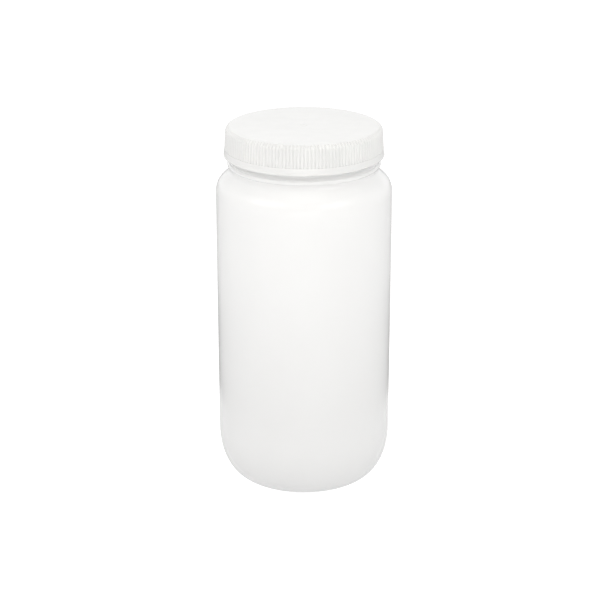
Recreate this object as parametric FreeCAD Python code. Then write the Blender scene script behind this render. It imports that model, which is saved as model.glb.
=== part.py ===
import FreeCAD, Part
import math
import os

os.makedirs("parts", exist_ok=True)
V = FreeCAD.Vector

# A half-litre wide-mouth bottle with a screw cap, in millimetres. The bottle stands on z = 0 with its
# axis on +Z, and the cap is screwed home.

# Bottle body
BODY_R = 37.5
WALL = 1.5
CORNER_RADIAL = 11.2        # the rounded base corner is a quarter of an upright ellipse
CORNER_TALL = 20.8
SHOULDER_Z = 129.6          # top of the straight wall
SHOULDER_ROUND = 7.65
SHOULDER_SLOPE = 47.0       # degrees that the shoulder's cone leans in from the vertical
NECK_R = 31.2
NECK_FILLET = 2.0
BEAD_R = 32.5
BEAD_Z = 141.5
BEAD_ROUND = 1.0

# Pushed-up base: a shallow dome inside the ring that the bottle stands on
LAND_WIDTH = 2.0
DOME_R = 180.0
DOME_HALF_ANGLE = 6.5
PUSH_UP_ROUND = 3.0
PUSH_UP_SLOPE = 37.0
PINCH_LENGTH = 34.0         # the seam where the mould halves pinched the plastic shut, along X
PINCH_WIDTH = 1.0
PINCH_PROUD = 0.3

# Neck finish
RIM_Z = 154.9
RIM_ROUND = 0.4
MOUTH_ROUND = 0.5
BORE_R = 28.3
FINISH_ROOT_R = 30.05
FINISH_LOW_Z = 143.4

# Thread: six turns to the inch, right-handed, with the same flank angle on the bottle and in the cap
PITCH = 25.4 / 6
THREAD_DEPTH = 1.2
THREAD_GAP = 0.3            # radial clearance at each crest
FLANK_SLOPE = math.tan(math.radians(30))
BOTTLE_CREST_HALF = 0.41
CAP_CREST_HALF = 0.35
FLANK_GAP = 0.29            # along the axis, between the flanks that pull the cap down
BOTTLE_THREAD_TURNS = 1.35
BOTTLE_THREAD_LOW_Z = 146.9
CAP_THREAD_TURNS = 1.1
CAP_THREAD_START = 110.0    # degrees past the lower end of the bottle's thread
THREAD_FADE = 28.0          # degrees over which each end sinks into the wall
THREAD_ROOTED = 0.3
SECTION_STEP = 9.0

# Screw cap
CAP_TOP_Z = 157.7
CAP_LOW_Z = 145.0
CAP_LOW_R = 33.9
CAP_DRAFT = 3.1
CAP_EDGE_ROUND = 2.3
CAP_TOP_THICK = 1.8
CAP_INNER_ROUND = 0.5
HEM_ROUND = 0.55            # the skirt ends in a small bead
HEM_PROUD = 0.15
MOUTH_CHAMFER = 0.3
RIB_LOW_Z = 148.25          # below it the skirt is a plain band
BAND_PROUD = 0.1
RIB_COUNT = 140
GROOVE_DEPTH = 0.42
GROOVE_HALF_WIDTH = 0.52
GROOVE_LEAN = 45.0          # degrees that each groove leans in as it crosses the rounded edge
GROOVE_BEYOND = 0.12        # how far each groove's cutter reaches past the surface
GATE_R = 1.6                # the moulding gate's dimple in the middle of the top
GATE_DEPTH = 0.25

# Sealing liner
LINER_THICK = CAP_TOP_Z - CAP_TOP_THICK - RIM_Z
LINER_R = 30.8

CAP_INNER_R = FINISH_ROOT_R + THREAD_DEPTH + THREAD_GAP
THREAD_AXIAL_SHIFT = (BOTTLE_CREST_HALF + CAP_CREST_HALF + FLANK_GAP
                      + (THREAD_DEPTH - THREAD_GAP) * FLANK_SLOPE)


class Outline:
    """Half of a turned shape's outline: r along X, z along Z, drawn by moving and turning."""

    def __init__(self, r, z, heading):
        self.start = V(r, 0, z)
        self.point = self.start
        self.heading = heading
        self.edges = []

    def line_to(self, r, z):
        target = V(r, 0, z)
        self.edges.append(Part.LineSegment(self.point, target).toShape())
        self.heading = math.degrees(math.atan2(z - self.point.z, r - self.point.x))
        self.point = target

    def run(self, length):
        angle = math.radians(self.heading)
        self.line_to(self.point.x + length * math.cos(angle), self.point.z + length * math.sin(angle))

    def turn(self, radius, degrees):
        """An arc of this radius, tangent to the heading. Positive degrees turn left."""
        side = math.copysign(90, degrees)
        out = math.radians(self.heading + side)
        centre = self.point + V(math.cos(out), 0, math.sin(out)) * radius
        points = []
        for share in (0.5, 1.0):
            angle = math.radians(self.heading - side + degrees * share)
            points.append(centre + V(math.cos(angle), 0, math.sin(angle)) * radius)
        self.edges.append(Part.Arc(self.point, points[0], points[1]).toShape())
        self.heading += degrees
        self.point = points[1]

    def base_corner(self, radial, tall):
        """A quarter ellipse from level, heading out, to upright."""
        centre = self.point + V(0, 0, tall)
        target = centre + V(radial, 0, 0)
        ellipse = Part.Ellipse(centre + V(0, 0, tall), target, centre)
        self.edges.append(Part.ArcOfEllipse(ellipse, math.pi / 2, math.pi).toShape())
        self.heading = 90
        self.point = target

    def revolve(self):
        self.line_to(self.start.x, self.start.z)
        face = Part.Face(Part.Wire(Part.__sortEdges__(self.edges)))
        return face.revolve(V(0, 0, 0), V(0, 0, 1), 360)


def drop(radius, from_angle, to_angle):
    """Height that an arc falls while its slope goes from one angle to another."""
    return radius * (math.cos(math.radians(from_angle)) - math.cos(math.radians(to_angle)))


def width(radius, from_angle, to_angle):
    """Length outwards that an arc covers while its slope goes from one angle to another."""
    return radius * (math.sin(math.radians(to_angle)) - math.sin(math.radians(from_angle)))


def push_up_height():
    """How far the base's centre stands above the ring that the bottle rests on."""
    dome = drop(DOME_R, 0, DOME_HALF_ANGLE)
    step = drop(PUSH_UP_ROUND, DOME_HALF_ANGLE, PUSH_UP_SLOPE) + drop(PUSH_UP_ROUND, 0, PUSH_UP_SLOPE)
    return dome + step


def body_outline(inset):
    """The body's outline from the base's centre to the neck, drawn inset by a wall or not at all."""
    land_in_r = BODY_R - CORNER_RADIAL - LAND_WIDTH
    dome_edge_r = width(DOME_R, 0, DOME_HALF_ANGLE)
    step_width = width(PUSH_UP_ROUND, DOME_HALF_ANGLE, PUSH_UP_SLOPE) + width(PUSH_UP_ROUND, 0, PUSH_UP_SLOPE)
    outline = Outline(0, push_up_height() + inset, 0)
    outline.turn(DOME_R + inset, -DOME_HALF_ANGLE)
    outline.turn(PUSH_UP_ROUND + inset, DOME_HALF_ANGLE - PUSH_UP_SLOPE)
    outline.turn(PUSH_UP_ROUND - inset, PUSH_UP_SLOPE)
    outline.run(LAND_WIDTH + land_in_r - dome_edge_r - step_width)
    outline.base_corner(CORNER_RADIAL - inset, CORNER_TALL - inset)
    outline.line_to(BODY_R - inset, SHOULDER_Z)
    outline.turn(SHOULDER_ROUND - inset, SHOULDER_SLOPE)
    fillet_r = NECK_FILLET + inset
    neck_r = NECK_R - inset
    cone_width = outline.point.x - neck_r - drop(fillet_r, 0, SHOULDER_SLOPE)
    outline.run(cone_width / math.sin(math.radians(SHOULDER_SLOPE)))
    outline.turn(fillet_r, -SHOULDER_SLOPE)
    return outline


def bottle_outside():
    outline = body_outline(0)
    outline.line_to(NECK_R, BEAD_Z)
    outline.line_to(FINISH_ROOT_R, FINISH_LOW_Z)
    outline.line_to(FINISH_ROOT_R, RIM_Z - RIM_ROUND)
    outline.turn(RIM_ROUND, 90)
    outline.line_to(0, RIM_Z)
    bead = Part.makeTorus(BEAD_R - BEAD_ROUND, BEAD_ROUND, V(0, 0, BEAD_Z))
    return outline.revolve().fuse(bead)


def bottle_inside():
    above = RIM_Z + 1
    outline = body_outline(WALL)
    outline.line_to(NECK_R - WALL, BEAD_Z - BEAD_ROUND)
    outline.line_to(BORE_R, FINISH_LOW_Z)
    outline.line_to(BORE_R, RIM_Z - MOUTH_ROUND)
    outline.turn(MOUTH_ROUND, -90)
    outline.line_to(outline.point.x, above)
    outline.line_to(0, above)
    return outline.revolve()


def pinch_seam():
    """A low straight ridge under the base, as deep as the dome's curve all along."""
    outline = Outline(0, push_up_height() - PINCH_PROUD, 0)
    outline.turn(DOME_R - PINCH_PROUD, -DOME_HALF_ANGLE)
    outline.line_to(outline.point.x, push_up_height())
    outline.line_to(0, push_up_height() + WALL / 2)
    slab = Part.makeBox(PINCH_LENGTH, PINCH_WIDTH, BODY_R, V(-PINCH_LENGTH / 2, -PINCH_WIDTH / 2, 0))
    return outline.revolve().common(slab)


def thread(root_r, crest_r, crest_half, low_z, start_deg, turns):
    """A helical ridge from root_r to crest_r, rooted in the wall, whose ends sink into it."""
    outwards = math.copysign(1, crest_r - root_r)
    steps = round(turns * 360 / SECTION_STEP)
    sections = []
    for step in range(steps + 1):
        turned = turns * 360 * step / steps
        from_end = min(turned, turns * 360 - turned)
        share = math.sin(math.pi / 2 * min(from_end / THREAD_FADE, 1))
        height = (THREAD_DEPTH + THREAD_ROOTED / 2) * share - THREAD_ROOTED / 2
        crest_z = crest_half * (1 + share) / 2
        foot_z = crest_z + (height + THREAD_ROOTED) * FLANK_SLOPE
        z = low_z + PITCH * turned / 360
        angle = math.radians(start_deg + turned)
        points = []
        for up, side in ((-THREAD_ROOTED, -foot_z), (height, -crest_z), (height, crest_z),
                         (-THREAD_ROOTED, foot_z)):
            r = root_r + outwards * up
            points.append(V(r * math.cos(angle), r * math.sin(angle), z + side))
        sections.append(Part.makePolygon(points + [points[0]]))
    return Part.makeLoft(sections, True, False)


def bottle():
    ridge = thread(FINISH_ROOT_R, FINISH_ROOT_R + THREAD_DEPTH, BOTTLE_CREST_HALF,
                   BOTTLE_THREAD_LOW_Z, 0, BOTTLE_THREAD_TURNS)
    return bottle_outside().cut(bottle_inside()).fuse([ridge, pinch_seam()])


def skirt_r(z):
    """Radius of the drafted skirt, which widens downwards."""
    return CAP_LOW_R - (z - CAP_LOW_Z) * math.tan(math.radians(CAP_DRAFT))


def edge_centre():
    """Centre of the arc that rounds the cap's upper edge, in the plane y = 0."""
    z = CAP_TOP_Z - CAP_EDGE_ROUND
    return V(skirt_r(z) - BAND_PROUD - CAP_EDGE_ROUND / math.cos(math.radians(CAP_DRAFT)), 0, z)


def cap_outside():
    outline = Outline(0, CAP_TOP_Z, 0)
    outline.line_to(edge_centre().x, CAP_TOP_Z)
    outline.turn(CAP_EDGE_ROUND, CAP_DRAFT - 90)
    outline.line_to(skirt_r(RIB_LOW_Z) - BAND_PROUD, RIB_LOW_Z)
    outline.line_to(skirt_r(RIB_LOW_Z), RIB_LOW_Z)
    hem_centre = V(0, 0, CAP_LOW_Z + HEM_ROUND)
    hem_r = skirt_r(hem_centre.z) + HEM_PROUD - HEM_ROUND
    outline.line_to(skirt_r(hem_centre.z), hem_centre.z)
    outline.line_to(hem_r, CAP_LOW_Z)
    outline.line_to(0, CAP_LOW_Z)
    return outline.revolve().fuse(Part.makeTorus(hem_r, HEM_ROUND, hem_centre))


def cap_inside():
    below = CAP_LOW_Z - 1
    outline = Outline(0, CAP_TOP_Z - CAP_TOP_THICK, 0)
    outline.line_to(CAP_INNER_R - CAP_INNER_ROUND, CAP_TOP_Z - CAP_TOP_THICK)
    outline.turn(CAP_INNER_ROUND, -90)
    outline.line_to(CAP_INNER_R, CAP_LOW_Z + MOUTH_CHAMFER)
    outline.line_to(CAP_INNER_R + MOUTH_CHAMFER, CAP_LOW_Z)
    outline.line_to(CAP_INNER_R + MOUTH_CHAMFER, below)
    outline.line_to(0, below)
    return outline.revolve()


def groove_run(lean, length_below):
    """A straight V cutter along the surface where the rounded edge leans in by this many degrees."""
    angle = math.radians(lean)
    outwards = V(math.cos(angle), 0, math.sin(angle))
    upwards = V(-math.sin(angle), 0, math.cos(angle))
    start = edge_centre() - upwards * length_below
    tip = start + outwards * (CAP_EDGE_ROUND - GROOVE_DEPTH)
    mouth = start + outwards * (CAP_EDGE_ROUND + GROOVE_BEYOND)
    flare = V(0, GROOVE_HALF_WIDTH * (1 + GROOVE_BEYOND / GROOVE_DEPTH), 0)
    section = Part.Face(Part.makePolygon([tip, mouth - flare, mouth + flare, tip]))
    return section.extrude(upwards * (length_below + CAP_EDGE_ROUND))


def rib_groove():
    """A groove that climbs the drafted skirt and then leans over the rounded edge to the flat top."""
    above_band = Part.makeCylinder(2 * CAP_LOW_R, CAP_TOP_Z, V(0, 0, RIB_LOW_Z))
    climb = groove_run(CAP_DRAFT, CAP_TOP_Z).common(above_band)
    return climb.fuse(groove_run(GROOVE_LEAN, CAP_EDGE_ROUND))


def rib_grooves():
    groove = rib_groove()
    grooves = []
    for number in range(RIB_COUNT):
        turned = groove.copy()
        turned.rotate(V(0, 0, 0), V(0, 0, 1), 360 / RIB_COUNT * number)
        grooves.append(turned)
    return Part.makeCompound(grooves)


def gate_mark():
    sphere_r = (GATE_R ** 2 + GATE_DEPTH ** 2) / (2 * GATE_DEPTH)
    return Part.makeSphere(sphere_r, V(0, 0, CAP_TOP_Z - GATE_DEPTH + sphere_r))


def cap():
    low_z = BOTTLE_THREAD_LOW_Z + PITCH * CAP_THREAD_START / 360 - THREAD_AXIAL_SHIFT
    ridge = thread(CAP_INNER_R, CAP_INNER_R - THREAD_DEPTH, CAP_CREST_HALF,
                   low_z, CAP_THREAD_START, CAP_THREAD_TURNS)
    shell = cap_outside().cut(rib_grooves()).cut(cap_inside()).cut(gate_mark())
    return shell.fuse(ridge)


def liner():
    return Part.makeCylinder(LINER_R, LINER_THICK, V(0, 0, RIM_Z))


for name, make in (("bottle", bottle), ("cap", cap), ("liner", liner)):
    shape = make().removeSplitter()
    shape.exportStep("parts/" + name + ".step")
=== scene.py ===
import math

import bpy
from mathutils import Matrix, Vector


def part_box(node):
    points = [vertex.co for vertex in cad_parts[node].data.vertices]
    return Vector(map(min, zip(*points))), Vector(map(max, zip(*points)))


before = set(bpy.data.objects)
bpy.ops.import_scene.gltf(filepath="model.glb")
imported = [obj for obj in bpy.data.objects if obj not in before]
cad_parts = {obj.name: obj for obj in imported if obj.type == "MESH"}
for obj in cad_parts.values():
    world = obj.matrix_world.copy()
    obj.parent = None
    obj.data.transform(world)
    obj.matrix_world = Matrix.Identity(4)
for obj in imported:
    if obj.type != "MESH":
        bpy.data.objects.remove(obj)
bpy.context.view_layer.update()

# Everything is in metres, in the CAD frame: the bottle stands on z = 0 with its axis on +Z.
BOTTLE_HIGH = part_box("bottle")[1]
CAP_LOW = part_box("cap")[0]
BODY_R = BOTTLE_HIGH.x
BODY_WIDTH = 2 * BODY_R

# Camera, in front of the bottle and above it, looking down by PITCH
PITCH = math.radians(20.44)
DISTANCE = 9.82 * BODY_WIDTH         # from the camera to the bottle's axis, along the ground
EYE_HEIGHT = 4.692 * BODY_WIDTH
LENS = 106.7
SENSOR = 36.0
NEAREST_SEEN = 0.01

# Levels between which the bottle's inner faces look towards its axis
INNER_LOW = 0.02
INNER_HIGH = BOTTLE_HIGH.z - 0.005

# Plastics and foam. Colour and roughness vary in patches between the two values given.
PLASTIC_IOR = 1.49
BOTTLE_DARK = (0.945, 0.945, 0.945)
BOTTLE_LIGHT = (0.965, 0.965, 0.965)
BOTTLE_ROUGHNESS = (0.09, 0.14)
GLOW = 0.4                           # share of the bottle's wall that passes light on instead of back
GLOW_COLOUR = 0.97
GLOW_ROUGHNESS = 0.1
INNER_GLOW = 0.9                     # share of the light that passes on through an inner face
INNER_COLOUR = 0.98
CAP_DARK = (0.785, 0.785, 0.781)
CAP_LIGHT = (0.805, 0.805, 0.801)
CAP_ROUGHNESS = (0.2, 0.26)
FOAM_DARK = (0.86, 0.86, 0.84)
FOAM_LIGHT = (0.92, 0.92, 0.91)
FOAM_ROUGHNESS = (0.75, 0.9)
NOISE_SPAN = (0.3, 0.7)              # most of a noise texture's values lie between these

# Studio. The object is lit by a wide white room, brighter behind it, and by softboxes in front.
WHITE = (1.0, 1.0, 1.0, 1.0)
WORLD_FRONT = 0.33
WORLD_BACK = 1.15
FLOOR_SIZE = 6.0
FLOOR_DROP = 0.0002                  # keeps the floor clear of the base
# The floor as a light: the share it sends back, its own light close to the bottle, dimmed there as a painted
# shadow of the bottle, and further out, and the span over which that painted shadow fades out
FLOOR_RETURN = 0.3
FLOOR_NEAR_PAINTED_SHADOW = 0.52
FLOOR_FAR = 0.81
FLOOR_PAINTED_SHADOW_FADE = (0.13, 0.19)
# How bright it looks in a reflection, close by, in a ring around that, and far off, and the ring's two edges
GLOSS_NEAR = 0.6
GLOSS_RING = 0.02
GLOSS_FAR = 0.35
GLOSS_RING_INSIDE = (0.09, 0.12)
GLOSS_RING_OUTSIDE = (0.19, 0.30)
# How the camera sees it: overexposed paper
PAPER_RETURN = 0.35
PAPER_ROUGHNESS = 0.9
PAPER_LIGHT = 0.82
SOFTBOX_COLOUR = (1.0, 0.985, 0.945)
# Each softbox: name, place, size, power, and whether glossy surfaces mirror it
SOFTBOXES = (
    ("softbox_low", (0.0, -0.45, 0.08), (0.3, 0.12), 0.14, True),
    ("softbox_front", (0.0, -0.40, 0.25), (0.3, 0.15), 0.15, False),
    ("softbox_right", (0.27, -0.28, 0.38), (0.3, 0.2), 0.40, True),
    ("softbox_left", (-0.32, -0.22, 0.38), (0.3, 0.2), 0.38, True),
    ("softbox_top", (0.0, -0.08, 0.50), (0.24, 0.24), 0.18, True),
    ("softbox_far", (0.0, -1.40, 0.90), (1.2, 0.6), 1.2, False),
)


def grey(level):
    return (level, level, level, 1.0)


def new_material(name):
    material = bpy.data.materials.new(name)
    material.use_nodes = True
    tree = material.node_tree
    return material, tree, tree.nodes["Principled BSDF"]


def math_node(tree, operation, first, second):
    node = tree.nodes.new("ShaderNodeMath")
    node.operation = operation
    for socket, value in zip(node.inputs, (first, second)):
        if isinstance(value, float):
            socket.default_value = value
        else:
            tree.links.new(value, socket)
    return node.outputs["Value"]


def vector_math(tree, operation, output, *vectors):
    node = tree.nodes.new("ShaderNodeVectorMath")
    node.operation = operation
    for socket, vector in zip(node.inputs, vectors):
        tree.links.new(vector, socket)
    return node.outputs[output]


def ranged(tree, source, span, near, far, interpolation="LINEAR"):
    """Goes from one value to another while the source crosses a span."""
    node = tree.nodes.new("ShaderNodeMapRange")
    node.interpolation_type = interpolation
    node.inputs["From Min"].default_value = span[0]
    node.inputs["From Max"].default_value = span[1]
    node.inputs["To Min"].default_value = near
    node.inputs["To Max"].default_value = far
    tree.links.new(source, node.inputs["Value"])
    return node.outputs["Result"]


def fade(tree, source, span, near, far):
    """The same with soft ends."""
    return ranged(tree, source, span, near, far, "SMOOTHSTEP")


def noise(tree, place, scale, detail=2.0, along_z=1.0):
    """Noise over the object's own coordinates, in cycles per metre. A low along_z draws it out upwards."""
    mapping = tree.nodes.new("ShaderNodeMapping")
    mapping.inputs["Scale"].default_value = (1.0, 1.0, along_z)
    tree.links.new(place.outputs["Object"], mapping.inputs["Vector"])
    texture = tree.nodes.new("ShaderNodeTexNoise")
    texture.inputs["Scale"].default_value = scale
    texture.inputs["Detail"].default_value = detail
    tree.links.new(mapping.outputs["Vector"], texture.inputs["Vector"])
    return texture.outputs["Fac"]


def vary(tree, source, span):
    """Spreads a noise over a span of values."""
    return ranged(tree, source, NOISE_SPAN, *span)


def blend_colours(tree, source, dark, light):
    mix = tree.nodes.new("ShaderNodeMix")
    mix.data_type = "RGBA"
    mix.inputs["A"].default_value = (*dark, 1.0)
    mix.inputs["B"].default_value = (*light, 1.0)
    tree.links.new(vary(tree, source, (0.0, 1.0)), mix.inputs["Factor"])
    return mix.outputs["Result"]


def bump(tree, source, height, strength, before=None):
    node = tree.nodes.new("ShaderNodeBump")
    node.inputs["Distance"].default_value = height
    node.inputs["Strength"].default_value = strength
    tree.links.new(source, node.inputs["Height"])
    if before is not None:
        tree.links.new(before, node.inputs["Normal"])
    return node.outputs["Normal"]


def mix_shaders(tree, share, first, second):
    mix = tree.nodes.new("ShaderNodeMixShader")
    if isinstance(share, float):
        mix.inputs["Fac"].default_value = share
    else:
        tree.links.new(share, mix.inputs["Fac"])
    tree.links.new(first, mix.inputs[1])
    tree.links.new(second, mix.inputs[2])
    return mix.outputs["Shader"]


def seen_by_camera(tree, other, seen, output):
    """Shows one shader to the camera and the other one to the light that falls on the object."""
    path = tree.nodes.new("ShaderNodeLightPath")
    shown = mix_shaders(tree, path.outputs["Is Camera Ray"], other, seen)
    tree.links.new(shown, tree.nodes[output].inputs["Surface"])


def make_camera():
    data = bpy.data.cameras.new("camera")
    data.lens = LENS
    data.sensor_width = SENSOR
    data.clip_start = NEAREST_SEEN
    camera = bpy.data.objects.new("camera", data)
    bpy.context.scene.collection.objects.link(camera)
    camera.location = (0, -DISTANCE, EYE_HEIGHT)
    camera.rotation_euler = (math.pi / 2 - PITCH, 0, 0)
    bpy.context.scene.camera = camera


def make_world():
    """A white room, lit more at the back than at the front. The camera sees it as plain white."""
    world = bpy.data.worlds.new("studio")
    world.use_nodes = True
    tree = world.node_tree
    lit = tree.nodes["Background"]
    lit.inputs["Color"].default_value = WHITE
    direction = tree.nodes.new("ShaderNodeTexCoord")
    axes = tree.nodes.new("ShaderNodeSeparateXYZ")
    tree.links.new(direction.outputs["Generated"], axes.inputs["Vector"])
    strength = ranged(tree, axes.outputs["Y"], (-1.0, 1.0), WORLD_FRONT, WORLD_BACK)
    tree.links.new(strength, lit.inputs["Strength"])
    plain = tree.nodes.new("ShaderNodeBackground")
    plain.inputs["Color"].default_value = WHITE
    seen_by_camera(tree, lit.outputs["Background"], plain.outputs["Background"], "World Output")
    bpy.context.scene.world = world
    bpy.context.scene.view_settings.view_transform = "Standard"


def make_area_light(name, place, size, power, mirrored):
    """A softbox that points at the cap, unseen by the camera."""
    data = bpy.data.lights.new(name, "AREA")
    data.shape = "RECTANGLE"
    data.size = size[0]
    data.size_y = size[1]
    data.energy = power
    data.color = SOFTBOX_COLOUR
    light = bpy.data.objects.new(name, data)
    bpy.context.scene.collection.objects.link(light)
    light.location = place
    target = Vector((0, 0, CAP_LOW.z))
    light.rotation_euler = (target - Vector(place)).to_track_quat("-Z", "Y").to_euler()
    light.visible_camera = False
    light.visible_glossy = mirrored


def floor_strength(tree):
    """The floor's own light, by the distance from the bottle's axis, dimmed close to the bottle as a painted
    shadow. Reflections see it with a dark ring.
    """
    place = tree.nodes.new("ShaderNodeTexCoord")
    radius = vector_math(tree, "LENGTH", "Value", place.outputs["Object"])
    inside = fade(tree, radius, GLOSS_RING_INSIDE, GLOSS_NEAR, GLOSS_RING)
    outside = fade(tree, radius, GLOSS_RING_OUTSIDE, GLOSS_RING, GLOSS_FAR)
    path = tree.nodes.new("ShaderNodeLightPath")
    mix = tree.nodes.new("ShaderNodeMix")
    tree.links.new(path.outputs["Is Glossy Ray"], mix.inputs["Factor"])
    # The floor's light is dimmer close to the bottle: a painted shadow of the bottle.
    tree.links.new(fade(tree, radius, FLOOR_PAINTED_SHADOW_FADE, FLOOR_NEAR_PAINTED_SHADOW, FLOOR_FAR), mix.inputs["A"])
    tree.links.new(math_node(tree, "MAXIMUM", inside, outside), mix.inputs["B"])
    return mix.outputs["Result"]


def floor_paper():
    """White paper that the camera sees overexposed, and sees through from below."""
    material, tree, lit = new_material("floor_paper")
    lit.inputs["Base Color"].default_value = grey(FLOOR_RETURN)
    lit.inputs["Specular IOR Level"].default_value = 0.0
    lit.inputs["Emission Color"].default_value = WHITE
    tree.links.new(floor_strength(tree), lit.inputs["Emission Strength"])
    paper = tree.nodes.new("ShaderNodeBsdfPrincipled")
    paper.inputs["Base Color"].default_value = grey(PAPER_RETURN)
    paper.inputs["Roughness"].default_value = PAPER_ROUGHNESS
    paper.inputs["Emission Color"].default_value = WHITE
    paper.inputs["Emission Strength"].default_value = PAPER_LIGHT
    geometry = tree.nodes.new("ShaderNodeNewGeometry")
    nothing = tree.nodes.new("ShaderNodeBsdfTransparent")
    seen = mix_shaders(tree, geometry.outputs["Backfacing"], paper.outputs["BSDF"], nothing.outputs["BSDF"])
    seen_by_camera(tree, lit.outputs["BSDF"], seen, "Material Output")
    return material


def make_floor():
    mesh = bpy.data.meshes.new("floor")
    half = FLOOR_SIZE / 2
    corners = [(-half, -half, 0), (half, -half, 0), (half, half, 0), (-half, half, 0)]
    mesh.from_pydata(corners, [], [(0, 1, 2, 3)])
    floor = bpy.data.objects.new("floor", mesh)
    bpy.context.scene.collection.objects.link(floor)
    floor.location.z = -FLOOR_DROP
    floor.data.materials.append(floor_paper())


def faces_inwards(tree, place):
    """1 on the bottle's inner faces and 0 on its outer ones.

    A face looks inwards if its normal points to the nearest place on the bottle's axis between
    INNER_LOW and INNER_HIGH, rather than away from it."""
    axes = tree.nodes.new("ShaderNodeSeparateXYZ")
    tree.links.new(place.outputs["Object"], axes.inputs["Vector"])
    above_base = math_node(tree, "MAXIMUM", axes.outputs["Z"], INNER_LOW)
    level = math_node(tree, "MINIMUM", above_base, INNER_HIGH)
    middle = tree.nodes.new("ShaderNodeCombineXYZ")
    tree.links.new(level, middle.inputs["Z"])
    outwards = vector_math(tree, "SUBTRACT", "Vector", place.outputs["Object"], middle.outputs["Vector"])
    turned = vector_math(tree, "DOT_PRODUCT", "Value", outwards, place.outputs["Normal"])
    return math_node(tree, "LESS_THAN", turned, 0.0)


def natural_plastic():
    """Milky polypropylene. The outer face scatters the light back and forth, and the inner one lets it by."""
    material, tree, shader = new_material("natural_plastic")
    place = tree.nodes.new("ShaderNodeTexCoord")
    shader.inputs["IOR"].default_value = PLASTIC_IOR
    clouds = noise(tree, place, scale=28.0, detail=3.0, along_z=0.6)
    tree.links.new(blend_colours(tree, clouds, BOTTLE_DARK, BOTTLE_LIGHT), shader.inputs["Base Color"])
    patches = noise(tree, place, scale=90.0)
    tree.links.new(vary(tree, patches, BOTTLE_ROUGHNESS), shader.inputs["Roughness"])
    waves = bump(tree, noise(tree, place, scale=45.0, detail=1.0, along_z=0.35), height=0.0012, strength=0.3)
    grain = bump(tree, noise(tree, place, scale=1800.0), height=0.000008, strength=0.5, before=waves)
    tree.links.new(grain, shader.inputs["Normal"])
    glow = tree.nodes.new("ShaderNodeBsdfTranslucent")
    glow.inputs["Color"].default_value = grey(GLOW_COLOUR)
    gloss = tree.nodes.new("ShaderNodeBsdfGlossy")
    gloss.inputs["Roughness"].default_value = GLOW_ROUGHNESS
    fresnel = tree.nodes.new("ShaderNodeFresnel")
    fresnel.inputs["IOR"].default_value = PLASTIC_IOR
    glossy_glow = mix_shaders(tree, fresnel.outputs["Fac"], glow.outputs["BSDF"], gloss.outputs["BSDF"])
    wall = mix_shaders(tree, GLOW, shader.outputs["BSDF"], glossy_glow)
    let_by = tree.nodes.new("ShaderNodeBsdfTranslucent")
    let_by.inputs["Color"].default_value = grey(INNER_COLOUR)
    inner = math_node(tree, "MULTIPLY", faces_inwards(tree, place), INNER_GLOW)
    surface = mix_shaders(tree, inner, wall, let_by.outputs["BSDF"])
    tree.links.new(surface, tree.nodes["Material Output"].inputs["Surface"])
    return material


def white_plastic():
    """White polypropylene with a waxy satin surface."""
    material, tree, shader = new_material("white_plastic")
    place = tree.nodes.new("ShaderNodeTexCoord")
    shader.inputs["IOR"].default_value = PLASTIC_IOR
    clouds = noise(tree, place, scale=60.0, detail=4.0)
    tree.links.new(blend_colours(tree, clouds, CAP_DARK, CAP_LIGHT), shader.inputs["Base Color"])
    patches = noise(tree, place, scale=140.0)
    tree.links.new(vary(tree, patches, CAP_ROUGHNESS), shader.inputs["Roughness"])
    waves = bump(tree, noise(tree, place, scale=120.0, detail=1.0), height=0.0003, strength=0.15)
    grain = bump(tree, noise(tree, place, scale=2500.0), height=0.000006, strength=0.5, before=waves)
    tree.links.new(grain, shader.inputs["Normal"])
    return material


def white_foam():
    """Closed-cell foam: matt, with small cells."""
    material, tree, shader = new_material("white_foam")
    place = tree.nodes.new("ShaderNodeTexCoord")
    clouds = noise(tree, place, scale=150.0)
    tree.links.new(blend_colours(tree, clouds, FOAM_DARK, FOAM_LIGHT), shader.inputs["Base Color"])
    patches = noise(tree, place, scale=700.0)
    tree.links.new(vary(tree, patches, FOAM_ROUGHNESS), shader.inputs["Roughness"])
    cells = tree.nodes.new("ShaderNodeTexVoronoi")
    cells.inputs["Scale"].default_value = 2200.0
    tree.links.new(place.outputs["Object"], cells.inputs["Vector"])
    pits = bump(tree, cells.outputs["Distance"], height=0.0002, strength=0.6)
    tree.links.new(pits, shader.inputs["Normal"])
    return material


def dress(node, material):
    """Gives a CAD piece its one material."""
    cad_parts[node].data.materials.clear()
    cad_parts[node].data.materials.append(material)


make_camera()
make_world()
make_floor()
for name, place, size, power, mirrored in SOFTBOXES:
    make_area_light(name, place, size, power, mirrored)
dress("bottle", natural_plastic())
dress("cap", white_plastic())
dress("liner", white_foam())
